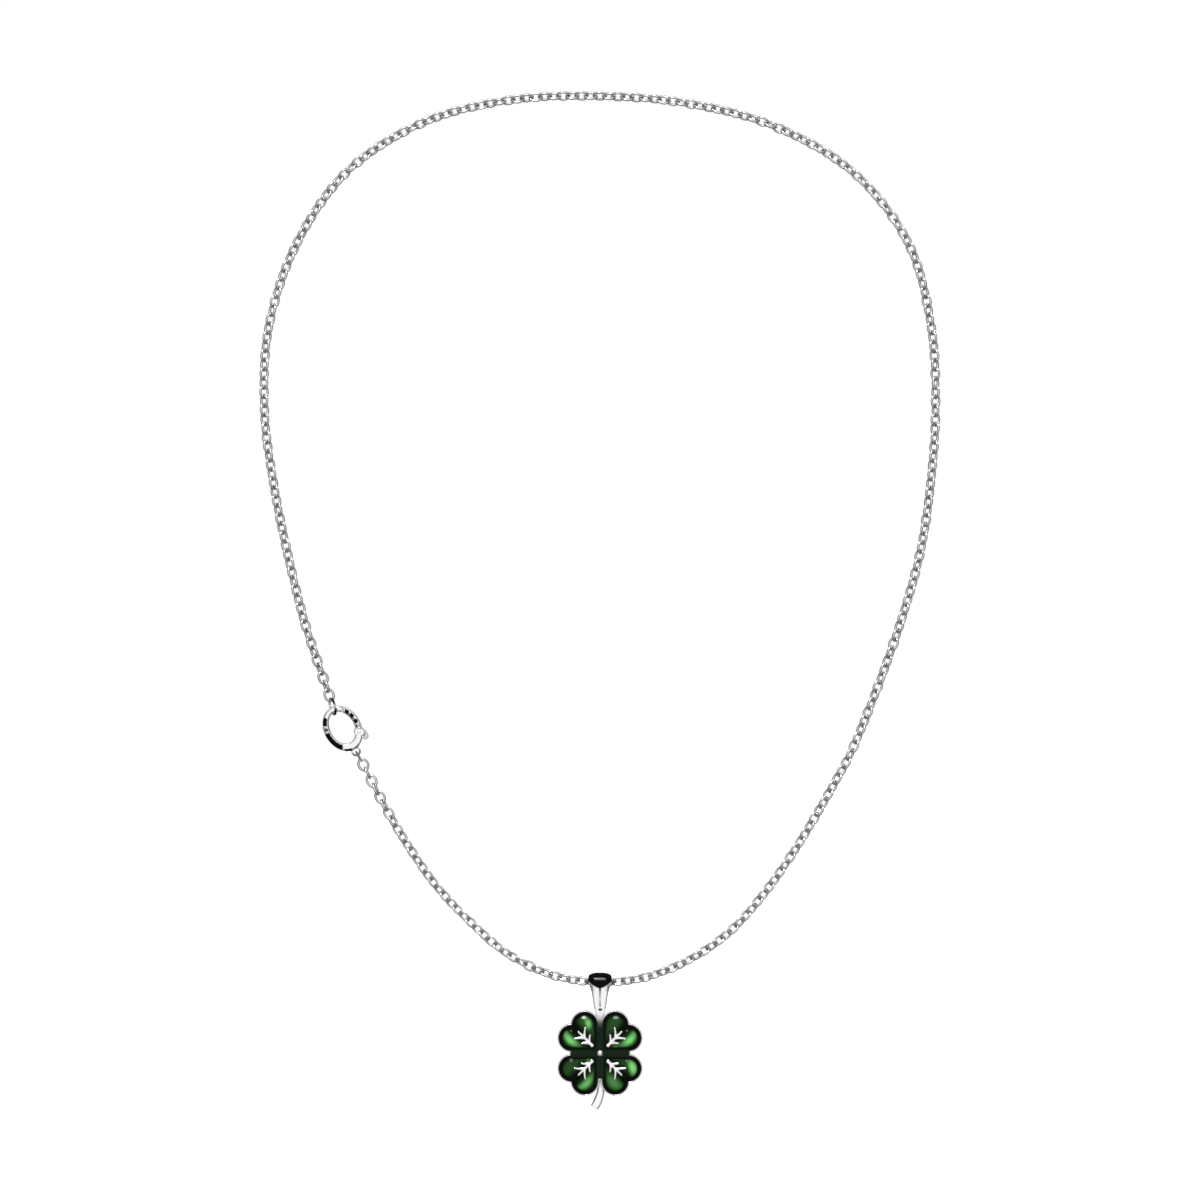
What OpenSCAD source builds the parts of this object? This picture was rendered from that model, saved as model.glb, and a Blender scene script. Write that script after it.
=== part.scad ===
// Clover pendant necklace, in millimetres.
// A silver chain loop hangs in the XZ plane, with its front towards -Y. The origin
// is the middle of the chain at the top of the loop, where a neck carries it.
// The clover and the clasp are drawn flat, x to the right, y up and z to the
// front, and are then stood up and set in their places on the loop.

/* [Chain] */
// Outer diameter of the chain, over its links
chain_d = 2.0; // [1.6:0.1:2.2]

/* [Clover] */
// Radius of each of the two lobes of a leaf
lobe_r = 2.76; // [2.6:0.02:2.9]
// Distance of the lobes' centres from the clover's centre, along the leaf
lobe_u = 6.14; // [6.0:0.02:6.3]
// Distance of each lobe's centre from the leaf's own axis
lobe_v = 1.84; // [1.7:0.02:2.0]
// Thickness of the silver back plate under the enamel
plate_t = 1.1; // [0.8:0.1:1.4]
// Height of the silver wall above the floor of the enamel cells
wall_h = 0.9; // [0.8:0.05:1.1]
// Width of the black enamel border of each leaf
border_w = 0.72; // [0.6:0.02:0.9]
// Height of the domed green enamel at its two crowns, above the cell floor
crown_h = 1.4; // [1.2:0.05:1.5]
// Height of the raised silver veins above the cell floor
vein_h = 1.55; // [1.5:0.05:1.8]
// Radius of the silver bead in the middle of the clover
bead_r = 0.74; // [0.6:0.02:0.8]

/* [Bail and stem] */
// Distance from the clover's centre up to the chain
bail_reach = 14.2; // [13.8:0.1:14.8]
// Thickness of the bail's strap over the chain
strap_t = 0.6; // [0.5:0.05:0.7]
// Thickness of the stem, front to back
stem_t = 1.5; // [1.2:0.1:1.8]

/* [Clasp] */
// Width of the clasp's oval, outside
clasp_w = 7.5; // [7.3:0.1:7.9]
// Height of the clasp's oval, outside
clasp_l = 9.6; // [9.4:0.1:10]
// Thickness of the clasp, front to back
clasp_t = 1.4; // [1.3:0.1:1.6]
// Lean of the clasp to the left, in degrees
clasp_lean = 30; // [28:1:32]
// Radius of the pivot pin
pin_r = 0.30; // [0.26:0.01:0.32]
// Radius of the wire of the two rings at the clasp
ring_wire_r = 0.22; // [0.18:0.01:0.24]

/* [Hidden] */

// Clear space between enamel and the silver around it
set_gap = 0.025;

// Middle line of the chain as [x, z], from the jump ring round the loop to the end ring
chain_route = [
    [-47.5, -133.6], [-42.5, -143], [-38, -150.5], [-32.7, -158], [-26, -165.1],
    [-18.5, -171.5], [-9.5, -175.8], [0, -177.2], [9.5, -176.1], [18.6, -172.3],
    [26.5, -166.6], [33.1, -159.1], [38.3, -151.8], [43, -144.2], [47, -137.2],
    [50.6, -130.4], [55.9, -117.2], [60.4, -104.4], [64, -91.5], [66.1, -77.8],
    [67.1, -63], [66.3, -46.5], [61.7, -29.5], [50.7, -15.3], [35, -6.1],
    [17.7, -1.5], [0, 0], [-18, -0.8], [-35.4, -5.3], [-50.7, -15.2],
    [-60.9, -30], [-66.3, -46.5], [-67.1, -63], [-65.2, -78], [-62.5, -91.4],
    [-59.4, -104.1], [-56.7, -112.5], [-54.2, -119.9]
];
chain_sides = 8;
chain_steps = 2;
chain_low_z = -177.2;

// The clover's centre on the loop
clover_z = chain_low_z - bail_reach;
// Half of the angle between the two straight sides of a leaf
leaf_half_angle = asin(lobe_r / norm([lobe_u, lobe_v])) + atan(lobe_v / lobe_u);
// Angle on a lobe's circle between the leaf's own axis and the start of its straight side
full_turn = 90 + leaf_half_angle;
// Angle between neighbouring points of an arc that is drawn as a polygon
arc_step = 7.5;
// How far the silver runs out past the leaf's outline, and how far its wall comes in
silver_out = 0.14;
silver_in = -0.08;
// Reach of the silver and of the enamel cell between two leaves, as [across, up and down]
web_silver = [6.1, 5.5];
web_cell = [5.85, 5.1];
// Heights from the flat drawing plane up
floor_z = -0.1;
root_z = floor_z - 0.2;
back_z = floor_z - plate_t;
neck_back_z = back_z + 0.2;
stem_back_z = back_z + 0.15;
wall_z = floor_z + wall_h;
border_z = floor_z + 0.8;
field_z = floor_z + 0.95;
// Overrun of a cutting form past what it cuts
past = 1;
// Radius of the green crowns and their centre along the leaf
crown_r = 4.2;
crown_u = 5.9;

// Veins of one leaf, a row each: [from u, from v, to u, to v, width at the start, at the end]
vein_rows = [
    [1.9, 0, 6.3, 0, 0.9, 0.5],
    [2.9, 0, 4.1, 1.35, 0.7, 0.45],
    [2.9, 0, 4.1, -1.35, 0.7, 0.45],
    [4.3, 0, 5.8, 1.7, 0.7, 0.45],
    [4.3, 0, 5.8, -1.7, 0.7, 0.45]
];

// Outline of the bail from the front, a row each: [height above the chain, half width]
bail_rows = [
    [2.1, 1.35], [1.66, 2.0], [1.16, 2.3], [0.56, 2.37], [-0.24, 2.25], [-0.84, 2.05],
    [-1.64, 1.75], [-3.24, 1.43], [-5.04, 1.2], [-5.8, 0.85]
];
eye_r = 1.3;
eye_tip_r = 0.3;
eye_drop = 3.0;
leg_r = 0.75;
leg_drop = 5.0;
groove_w = 0.6;
groove_depth = 0.28;
// Ends of the groove above the middle of the bail's foot
groove_low = 0.4;
groove_high = leg_drop - 0.6;
dimple_r = 0.3;
dimple_y = 8.65;
dimple_depth = 0.2;

// Neck between the bail and the two upper leaves, a row each: [y, half width]
neck_rows = [[5.2, 0.3], [6.2, 0.4], [7.2, 0.7], [8.8, 1.1], [9.5, 1.0]];
neck_z = 0.55;

// Stem, a row each: [x, y, width]
stem_rows = [
    [0, -5.2, 0.56], [0.02, -6.2, 0.86], [0.1, -7, 1.3], [0.12, -7.8, 1.56],
    [-0.15, -8.9, 1.72], [-0.6, -10, 1.78], [-1.05, -10.75, 1.8]
];

// The clasp's centre on the loop, and the middle line of its oval band
clasp_x = -51.45;
clasp_z = -126.5;
band_side = 1.35;
band_top = 1.2;
band_foot = 1.7;
oval_a = (clasp_w - band_side) / 2;
oval_b = (clasp_l - (band_top + band_foot) / 2) / 2;
oval_y = (band_foot - band_top) / 4;
band_chamfer = 0.35;
// Angle of the pivot on the oval, and how far the lever reaches from it
pivot_angle = -35.6;
pivot = [oval_a * cos(pivot_angle), oval_y + oval_b * sin(pivot_angle)];
lever_reach = 5.5;
lever_gap = 0.1;
// Fork of the pivot: its cheeks, and the slot in which the lever's tongue turns
cheek_r = 1.1;
slot_half = 0.38;
tongue_half = 0.3;
tongue_r = 1.0;
slot_r = 1.35;
body_bore_r = pin_r + 0.02;
lever_bore_r = pin_r + 0.04;
lug_y = -5.3;
lug_r = 1.0;
lug_t = 0.9;
lug_hole_r = 0.55;
jump_r = 1.15;
end_ring_r = 1.65;
end_ring_lean = 16;
end_ring_turn = 20;
// Middle of the end ring's wire where it hangs on the band, under the top of the oval
ring_ease = 0.11;
end_ring_seat = clasp_l / 2 - band_top - ring_wire_r - ring_ease;
// Thumb tab of the lever: its direction from the pivot, its root, length, width and thickness
tab_angle = -62;
tab_root = 0.5;
tab_l = 0.95;
tab_w = 1.3;
tab_t = 1.2;
// Blackened pockets across the band, by their angle on the oval, and their length along it
body_marks = [132, 147, 163, 177, 190, 203, 216, 229];
body_mark_len = 0.6;
lever_marks = [-2, 18, 37];
lever_mark_len = 0.85;
mark_w = 0.8;
mark_depth = 0.16;
mark_shift = 0.06;

// A point of the Catmull-Rom curve between b and c
function curve_at(a, b, c, d, t) =
    0.5 * (2 * b + (c - a) * t + (2 * a - 5 * b + 4 * c - d) * t * t
        + (3 * b - a - 3 * c + d) * t * t * t);

// A smooth line through all the points of a route, with steps points on each span
function smooth(route, steps) =
    let (last = len(route) - 1)
    concat(
        [for (i = [0 : last - 1])
            for (s = [0 : steps - 1])
                curve_at(
                    i == 0 ? 2 * route[0] - route[1] : route[i - 1],
                    route[i],
                    route[i + 1],
                    i == last - 1 ? 2 * route[last] - route[last - 1] : route[i + 2],
                    s / steps
                )],
        [route[last]]
    );

function unit(v) = v / norm(v);

// Direction of a flat line at its point i, and the normal to its left
function heading(line, i) =
    unit(line[min(i + 1, len(line) - 1)] - line[max(i - 1, 0)]);
function left_of(line, i) = let (h = heading(line, i)) [-h.y, h.x];

// Sweep sections along a flat line: each section is a list of [to the left, up]
module sweep(line, sections) {
    n = len(sections[0]);
    last = len(line) - 1;
    points = [
        for (i = [0 : last])
            let (side = left_of(line, i))
            for (s = sections[i])
                [line[i].x + s.x * side.x, line[i].y + s.x * side.y, s.y]
    ];
    walls = [
        for (i = [0 : last - 1])
            for (k = [0 : n - 1])
                let (k1 = (k + 1) % n)
                [i * n + k, (i + 1) * n + k, (i + 1) * n + k1, i * n + k1]
    ];
    start = [for (k = [0 : n - 1]) k];
    end = [for (k = [n - 1 : -1 : 0]) last * n + k];
    polyhedron(points, concat([start], walls, [end]), convexity = 6);
}

function round_section(r, sides) =
    [for (k = [0 : sides - 1]) let (a = (k + 0.5) * 360 / sides) [r * cos(a), r * sin(a)]];

function chamfered_section(w, t, c) = let (a = w / 2, b = t / 2) [
    [a, c - b], [a, b - c], [a - c, b], [c - a, b],
    [-a, b - c], [-a, c - b], [c - a, -b], [a - c, -b]
];

// Outline of a leaf, grown by g, in the leaf's own axes: u along it and v across
function lobe_arc(g, side, from, to) =
    let (n = ceil((to - from) / arc_step))
    [for (i = [0 : n])
        let (a = from + (to - from) * i / n)
        [lobe_u + (lobe_r + g) * cos(a), side * lobe_v + (lobe_r + g) * sin(a)]];
function leaf_lobes(g, back_right, back_left) =
    let (notch = asin(lobe_v / (lobe_r + g)))
    let (right = lobe_arc(g, -1, -back_right, notch), left = lobe_arc(g, 1, -notch, back_left))
    concat(right, [for (i = [1 : len(left) - 1]) left[i]]);
function leaf_outline(g) =
    concat([[-g / sin(leaf_half_angle), 0]], leaf_lobes(g, full_turn, full_turn));

// Angle on a lobe where its outline ends at the web, which lies at reach along the axis
function web_turn(g, reach) =
    min(full_turn, 45 + acos((reach - (lobe_u + lobe_v) / sqrt(2)) / (lobe_r + g)));
// Corner of a web that ends before the lobe's arc begins
function web_corner(g, reach, side) =
    let (lean = 45 - leaf_half_angle, s = (reach - g * sin(lean)) / cos(lean))
    web_turn(g, reach) < full_turn ? [] : [[
        s * cos(leaf_half_angle) - g * sin(leaf_half_angle),
        side * (s * sin(leaf_half_angle) + g * cos(leaf_half_angle))
    ]];
function turned(p, a) = [p.x * cos(a) - p.y * sin(a), p.x * sin(a) + p.y * cos(a)];
function clover_outline(g, reach) = [
    for (k = [0 : 3])
        let (first = reach[k % 2], last = reach[(k + 1) % 2])
        let (lobes = leaf_lobes(g, web_turn(g, first), web_turn(g, last)))
        for (p = concat(web_corner(g, first, -1), lobes, web_corner(g, last, 1)))
            turned(p, 45 + 90 * k)
];

// Teardrop round a large and a small circle, its large end up at the origin
function teardrop(r_top, r_foot, drop) =
    let (lean = asin((r_top - r_foot) / drop), n = 24, m = 8)
    concat(
        [for (i = [0 : n])
            let (a = -lean + (180 + 2 * lean) * i / n)
            [r_top * cos(a), r_top * sin(a)]],
        [for (i = [0 : m])
            let (a = 180 + lean + (180 - 2 * lean) * i / m)
            [r_foot * cos(a), r_foot * sin(a) - drop]]
    );

// Closed outline of a table of [height, half width] rows
function mirrored_rows(rows) = concat(
    [for (r = rows) [r[1], r[0]]],
    [for (i = [len(rows) - 1 : -1 : 0]) [-rows[i][1], rows[i][0]]]
);

module slab(low, high) {
    translate([0, 0, low]) linear_extrude(high - low) children();
}

module in_pendant() {
    translate([0, 0, clover_z]) rotate([90, 0, 0]) children();
}

module in_clasp() {
    translate([clasp_x, 0, clasp_z]) rotate([0, -clasp_lean, 0]) rotate([90, 0, 0]) children();
}

module chain() {
    line = smooth(chain_route, chain_steps);
    section = round_section(chain_d / 2, chain_sides);
    color("silver") rotate([90, 0, 0]) sweep(line, [for (p = line) section]);
}

// A leaf's veins as flat strokes, each grown by g
module veins_flat(g) {
    for (r = vein_rows) {
        from = [r[0], r[1]];
        to = [r[2], r[3]];
        along = unit(to - from);
        side = [-along.y, along.x];
        polygon([
            from - along * g + side * (r[4] / 2 + g),
            from - along * g - side * (r[4] / 2 + g),
            to + along * g - side * (r[5] / 2 + g),
            to + along * g + side * (r[5] / 2 + g)
        ]);
    }
}

module bead() {
    straight = floor_z + vein_h - bead_r;
    rotate_extrude($fn = 48)
        polygon(concat(
            [[0, root_z], [bead_r, root_z]],
            [for (a = [0 : 2 * arc_step : 80]) [bead_r * cos(a), straight + bead_r * sin(a)]],
            [[0, straight + bead_r]]
        ));
}

// Outer form of the clover's silver, and the sunk cell that holds all its enamel
module clover_body() {
    slab(back_z, wall_z) polygon(clover_outline(silver_out, web_silver));
}

module enamel_cell() {
    slab(floor_z, wall_z + past) polygon(clover_outline(silver_in, web_cell));
}

module veins() {
    for (k = [0 : 3])
        rotate(45 + 90 * k) slab(root_z, floor_z + vein_h) veins_flat(0);
}

module bail() {
    reach = eye_r + strap_t;
    lean = asin((reach - leg_r) / leg_drop);
    half_w = max([for (r = bail_rows) r[1]]) + past;
    translate([0, bail_reach, 0])
        difference() {
            intersection() {
                rotate([0, -90, 0])
                    slab(-half_w, half_w) polygon(teardrop(reach, leg_r, leg_drop));
                slab(-reach - past, reach + past) polygon(mirrored_rows(bail_rows));
            }
            rotate([0, -90, 0])
                slab(-half_w - past, half_w + past) polygon(teardrop(eye_r, eye_tip_r, eye_drop));
            translate([0, -leg_drop, 0])
                rotate([lean, 0, 0])
                    translate([0, 0, leg_r])
                        rotate([-90, 0, 0])
                            slab(groove_low, groove_high)
                                polygon([
                                    [-groove_w, -groove_depth], [0, groove_depth], [groove_w, -groove_depth]
                                ]);
        }
}

module neck() {
    slab(neck_back_z, neck_z) polygon(mirrored_rows(neck_rows));
}

module stem() {
    line = [for (r = stem_rows) [r[0], r[1]]];
    last = len(line) - 1;
    slab(stem_back_z, stem_back_z + stem_t)
        polygon(concat(
            [for (i = [0 : last]) line[i] + left_of(line, i) * stem_rows[i][2] / 2],
            [for (i = [last : -1 : 0]) line[i] - left_of(line, i) * stem_rows[i][2] / 2]
        ));
}

module clover_frame() {
    color("gainsboro") in_pendant() {
        difference() {
            union() {
                clover_body();
                bail();
                neck();
                stem();
            }
            enamel_cell();
            translate([0, dimple_y, neck_z - dimple_depth]) cylinder(r = dimple_r, h = past, $fn = 24);
        }
        veins();
        bead();
    }
}

module rim_enamel() {
    color("black") in_pendant()
        slab(floor_z + set_gap, border_z)
            difference() {
                polygon(clover_outline(silver_in - set_gap, web_cell - [set_gap, set_gap]));
                for (k = [0 : 3])
                    rotate(45 + 90 * k) polygon(leaf_outline(-border_w));
                circle(bead_r + set_gap, $fn = 48);
            }
}

module leaf_enamel(k) {
    crown_z = floor_z + crown_h - crown_r;
    color("forestgreen") in_pendant() rotate(45 + 90 * k)
        difference() {
            intersection() {
                slab(floor_z + set_gap, floor_z + crown_h + past)
                    polygon(leaf_outline(-border_w - set_gap));
                union() {
                    translate([0, -lobe_u, floor_z]) cube([2 * lobe_u, 2 * lobe_u, field_z - floor_z]);
                    for (side = [-1, 1])
                        translate([crown_u, side * lobe_v, crown_z]) sphere(crown_r, $fn = 64);
                }
            }
            slab(root_z, floor_z + vein_h + past) veins_flat(set_gap);
        }
}

function oval_at(a) = [oval_a * cos(a), oval_y + oval_b * sin(a)];
function band_at(a) =
    band_side + (sin(a) > 0 ? band_top - band_side : band_foot - band_side) * pow(sin(a), 2);

// Stretch of the oval band from one angle to another
module band(from, to, n) {
    angles = [for (i = [0 : n]) from + (to - from) * i / n];
    sweep(
        [for (a = angles) oval_at(a)],
        [for (a = angles) chamfered_section(band_at(a), clasp_t, band_chamfer)]
    );
}

// Pockets across the band at the given angles, each long along it, set off outwards by shift
module marks(angles, long, shift) {
    for (a = angles)
        translate([oval_at(a).x, oval_at(a).y, clasp_t / 2 - mark_depth])
            rotate(atan2(oval_a * sin(a), oval_b * cos(a)))
                translate([shift - mark_w / 2, -long / 2, 0])
                    cube([mark_w, long, past]);
}

module clasp_body() {
    color("silver") in_clasp()
        difference() {
            union() {
                difference() {
                    band(30, 360 + pivot_angle, 42);
                    intersection() {
                        translate([pivot.x, pivot.y, -clasp_t])
                            cylinder(r = lever_reach + lever_gap, h = 2 * clasp_t, $fn = 96);
                        translate([0, 0, -clasp_t]) cube([clasp_w, clasp_l, 2 * clasp_t]);
                    }
                }
                translate([pivot.x, pivot.y, -clasp_t / 2])
                    cylinder(r = cheek_r, h = clasp_t, $fn = 48);
                translate([0, lug_y, -lug_t / 2]) cylinder(r = lug_r, h = lug_t, $fn = 48);
            }
            translate([pivot.x, pivot.y, -slot_half])
                cylinder(r = slot_r, h = 2 * slot_half, $fn = 48);
            translate([pivot.x, pivot.y, -clasp_t])
                cylinder(r = body_bore_r, h = 2 * clasp_t, $fn = 48);
            translate([0, lug_y, -clasp_t]) cylinder(r = lug_hole_r, h = 2 * clasp_t, $fn = 48);
            marks(body_marks, body_mark_len, mark_shift);
        }
}

module clasp_lever() {
    color("silver") in_clasp()
        difference() {
            union() {
                intersection() {
                    band(pivot_angle, 75, 18);
                    difference() {
                        translate([pivot.x, pivot.y, -clasp_t])
                            cylinder(r = lever_reach, h = 2 * clasp_t, $fn = 96);
                        for (low = [-clasp_t, tongue_half])
                            translate([pivot.x, pivot.y, low])
                                cylinder(r = cheek_r + lever_gap, h = clasp_t - tongue_half, $fn = 48);
                    }
                }
                translate([pivot.x, pivot.y, -tongue_half])
                    cylinder(r = tongue_r, h = 2 * tongue_half, $fn = 48);
                translate([pivot.x, pivot.y, 0]) rotate(tab_angle) {
                    translate([tab_root, -tongue_r / 2, -tongue_half])
                        cube([tongue_r, tongue_r, 2 * tongue_half]);
                    translate([cheek_r + lever_gap, -tab_w / 2, -tab_t / 2])
                        cube([tab_l, tab_w, tab_t]);
                }
            }
            translate([pivot.x, pivot.y, -clasp_t])
                cylinder(r = lever_bore_r, h = 2 * clasp_t, $fn = 48);
            marks(lever_marks, lever_mark_len, -mark_shift);
        }
}

module clasp_pin() {
    color("lightgray") in_clasp()
        translate([pivot.x, pivot.y, -clasp_t / 2])
            cylinder(r = pin_r, h = clasp_t, $fn = 48);
}

// Closed round ring of wire that hangs at foot, leaning to the right and turned on itself
module ring(mid_r, foot, lean, turn) {
    in_clasp() translate([0, foot, 0]) rotate(-lean) translate([0, mid_r, 0])
        rotate([0, turn, 0]) rotate([0, 90, 0])
            rotate_extrude($fn = 64) translate([mid_r, 0]) circle(ring_wire_r, $fn = 24);
}

module end_ring() {
    color("silver") ring(end_ring_r, end_ring_seat, end_ring_lean, end_ring_turn);
}

module jump_ring() {
    color("silver") ring(jump_r, lug_y - 2 * jump_r, 0, 0);
}

chain();
end_ring();
jump_ring();
clasp_body();
clasp_lever();
clasp_pin();
clover_frame();
rim_enamel();
leaf_enamel(0);  // leaf_enamel_upper_right
leaf_enamel(1);  // leaf_enamel_upper_left
leaf_enamel(2);  // leaf_enamel_lower_left
leaf_enamel(3);  // leaf_enamel_lower_right
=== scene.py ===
import math

import bmesh
import bpy
import numpy as np
from mathutils.geometry import delaunay_2d_cdt
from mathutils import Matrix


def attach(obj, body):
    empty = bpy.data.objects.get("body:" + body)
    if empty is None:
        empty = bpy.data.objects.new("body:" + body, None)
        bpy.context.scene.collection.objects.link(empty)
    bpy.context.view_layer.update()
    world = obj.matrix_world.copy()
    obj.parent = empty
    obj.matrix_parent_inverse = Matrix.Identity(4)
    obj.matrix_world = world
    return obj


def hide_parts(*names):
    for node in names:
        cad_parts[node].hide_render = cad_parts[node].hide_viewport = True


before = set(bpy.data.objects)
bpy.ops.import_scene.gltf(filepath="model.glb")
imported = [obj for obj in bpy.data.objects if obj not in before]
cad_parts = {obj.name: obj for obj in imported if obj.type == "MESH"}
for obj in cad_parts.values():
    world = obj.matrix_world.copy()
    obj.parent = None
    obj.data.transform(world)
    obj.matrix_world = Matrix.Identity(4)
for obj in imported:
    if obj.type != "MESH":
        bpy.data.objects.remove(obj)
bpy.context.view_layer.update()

# Clasp body. A cast silver oval, open at its hook, with blackened pockets across its left
# arm. It has a fork for the lever's pivot, and a lug with a round hole for the jump ring.
mm = 0.001
clasp_place = (-51.45, -126.5)
clasp_lean = math.radians(30)
clasp_thick = 1.4
oval_a, oval_b, oval_y = 3.075, 4.075, 0.125
band_side, band_top, band_foot, band_corner = 1.35, 1.2, 1.7, 0.5
hook_start, pivot_angle = math.radians(51.3), math.radians(-35.6)
pivot = (oval_a * math.cos(pivot_angle), oval_y + oval_b * math.sin(pivot_angle))
cheek_r, slot_r, slot_half, body_bore_r = 1.1, 1.35, 0.38, 0.32
cheek_edge, cheek_dome, body_blunt, bore_edge = 0.15, 0.14, 0.22, 0.01
lug_y, lug_r, lug_hole_r, lug_thick = -5.3, 1.0, 0.55, 0.9
body_pockets = [(132, 1), (147, 1), (163, 0.94), (177, 1), (190, 1), (203, 1), (216, 1), (229, 1)]
body_pocket_long, pocket_wide, pocket_deep, pocket_shift = 0.6, 0.8, 0.16, 0.09
clasp_voxel = 0.05


class Tone:
    """A value, colour or vector in a node tree. Operators on it add the tree's own nodes."""

    def __init__(self, tree, socket):
        self.tree, self.socket = tree, socket

    def node(self, kind, settings, sockets, out=0):
        """A new node of this kind: settings are set first, then its sockets are fed."""
        made = self.tree.nodes.new(kind)
        for name, value in settings.items():
            setattr(made, name, value)
        for name, value in sockets.items():
            if isinstance(value, Tone):
                self.tree.links.new(value.socket, made.inputs[name])
            else:
                made.inputs[name].default_value = value
        return Tone(self.tree, made.outputs[out])

    def maths(self, operation, first, second):
        return self.node("ShaderNodeMath", {"operation": operation}, {0: first, 1: second})

    def __add__(self, other):
        return self.maths("ADD", self, other)

    def __sub__(self, other):
        return self.maths("SUBTRACT", self, other)

    def __rsub__(self, other):
        return self.maths("SUBTRACT", other, self)

    def __mul__(self, other):
        return self.maths("MULTIPLY", self, other)

    __radd__, __rmul__ = __add__, __mul__

    def ramp(self, low, high):
        """A soft step from 0 at low to 1 at high."""
        sockets = {"Value": self, "From Min": low, "From Max": high}
        return self.node("ShaderNodeMapRange", {"interpolation_type": "SMOOTHSTEP"}, sockets)

    def mix(self, first, second):
        """The first colour where this is 0, the second where it is 1."""
        return self.node("ShaderNodeMix", {"data_type": "RGBA"}, {0: self, 6: first, 7: second}, 2)


class Finish:
    """A material with one Principled shader, whose fixed numbers sit on its own sockets."""

    def __init__(self, name, fixed):
        self.material = bpy.data.materials.new(name)
        self.material.use_nodes = True
        self.tree = self.material.node_tree
        self.shader = self.tree.nodes["Principled BSDF"]
        for socket, value in fixed.items():
            self.shader.inputs[socket].default_value = value
        self.place = Tone(self.tree, self.tree.nodes.new("ShaderNodeTexCoord").outputs["Object"])

    def attribute(self, name):
        return self.place.node("ShaderNodeAttribute", {"attribute_name": name}, {}, "Fac")

    def grain(self, per_metre, detail):
        """Noise from 0 to 1 with so many waves in a metre."""
        sockets = {"Vector": self.place, "Scale": per_metre, "Detail": detail}
        return self.place.node("ShaderNodeTexNoise", {}, sockets, "Fac")

    def bump(self, height, depth):
        return self.place.node("ShaderNodeBump", {}, {"Distance": depth, "Height": height})

    def feed(self, sockets):
        for name, tone in sockets.items():
            self.tree.links.new(tone.socket, self.shader.inputs[name])
        return self.material


def silver(name, bright, dull, waviness):
    """Polished silver with fine wear, darkened by its mark: blackening and painted shade."""
    made = Finish(name, {"IOR": 1.5, "Specular IOR Level": 0.03})
    patina = made.attribute("patina")
    wear, haze = made.grain(2600, 4), made.grain(420, 3)
    clean = haze.mix(bright, dull)
    black = wear.mix((0.0005, 0.0005, 0.0005, 1), (0.004, 0.0038, 0.004, 1))
    return made.feed({
        "Base Color": patina.mix(clean, black),
        "Metallic": 1 - patina,
        "Roughness": wear.ramp(0.35, 0.8) * 0.12 + 0.08 + patina * 0.06,
        "Normal": made.bump(haze * 0.7 + wear * 0.3, waviness),
    })


def in_clasp(flat):
    """Drawn points, x to the right, y up and h to the front, stood up in the clasp's place."""
    x, y, h = np.asarray(flat, float).T
    c, s = math.cos(clasp_lean), math.sin(clasp_lean)
    across, up = x * c - y * s, x * s + y * c
    return np.stack([clasp_place[0] + across, -h, clasp_place[1] + up], 1) * mm


def soft_step(x, low, high):
    t = np.clip((x - low) / (high - low), 0, 1)
    return t * t * (3 - 2 * t)


def between(x, low, high, soft):
    """1 from low to high and 0 outside, with soft ends."""
    return soft_step(x, low - soft, low + soft) * (1 - soft_step(x, high - soft, high + soft))


def loft(rings, closed=False):
    """Points and faces of a skin over equally long rings, its ends shut unless closed."""
    count, around = rings.shape[:2]
    faces = [
        (a + k, a + (k + 1) % around, b + (k + 1) % around, b + k)
        for a, b in (
            (i * around, (i + 1) % count * around) for i in range(count if closed else count - 1)
        )
        for k in range(around)
    ]
    if not closed:
        faces += [tuple(range(around))[::-1], tuple(range((count - 1) * around, count * around))]
    return rings.reshape(-1, 3), faces


def joined(shells):
    """Several shells as one list of points and faces."""
    points, faces, start = [], [], 0
    for shell_points, shell_faces in shells:
        points.append(shell_points)
        faces += [tuple(start + i for i in face) for face in shell_faces]
        start += len(shell_points)
    return np.concatenate(points), faces


def steps(line):
    return np.linalg.norm(np.diff(line, axis=0), axis=1)


def run(line):
    """How far along a line each of its points lies."""
    return np.concatenate([[0], np.cumsum(steps(line))])


def soft_bar(line, outward, width, thick, middle, corner, blunt, across=6, side=4):
    """Rings of a bar along a flat line: its four edges are rounded, and so are its two ends."""
    unit = []
    corners = ((1, 1), (-1, 1), (-1, -1), (1, -1))
    for q, (m, n) in enumerate(corners):
        m_next, n_next = corners[(q + 1) % 4]
        for a in np.linspace(q, q + 1, 5) * math.pi / 2:
            unit.append((m, n, math.cos(a), math.sin(a)))
        between_corners = side if q % 2 else across
        for f in np.linspace(0, 1, between_corners + 2)[1:-1]:
            a = (q + 1) * math.pi / 2
            unit.append((m + (m_next - m) * f, n + (n_next - n) * f, math.cos(a), math.sin(a)))
    m, n, round_x, round_y = np.array(unit).T
    gone = run(line)
    end = np.clip(np.minimum(gone, gone[-1] - gone) / blunt, 0, 1)
    inset = blunt * (1 - np.sqrt(1 - (1 - end) ** 2))
    half_w = (np.broadcast_to(width, gone.shape) / 2 - inset)[:, None]
    half_t = (np.broadcast_to(thick, gone.shape) / 2 - inset)[:, None]
    soft = np.minimum(corner, 0.95 * np.minimum(half_w, half_t))
    x = m * (half_w - soft) + soft * round_x
    h = n * (half_t - soft) + soft * round_y + np.broadcast_to(middle, gone.shape)[:, None]
    flat = line[:, None, :] + outward[:, None, :] * x[:, :, None]
    return np.concatenate([flat, h[:, :, None]], 2)


def paced(length, step, blunt):
    """Distances along a bar, evenly spaced and closer together at its two rounded ends."""
    ends = blunt * np.array([0, 0.05, 0.2, 0.5])
    middle = np.linspace(blunt, length - blunt, max(2, int(length / step)))
    return np.concatenate([ends, middle, length - ends[::-1]])


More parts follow.
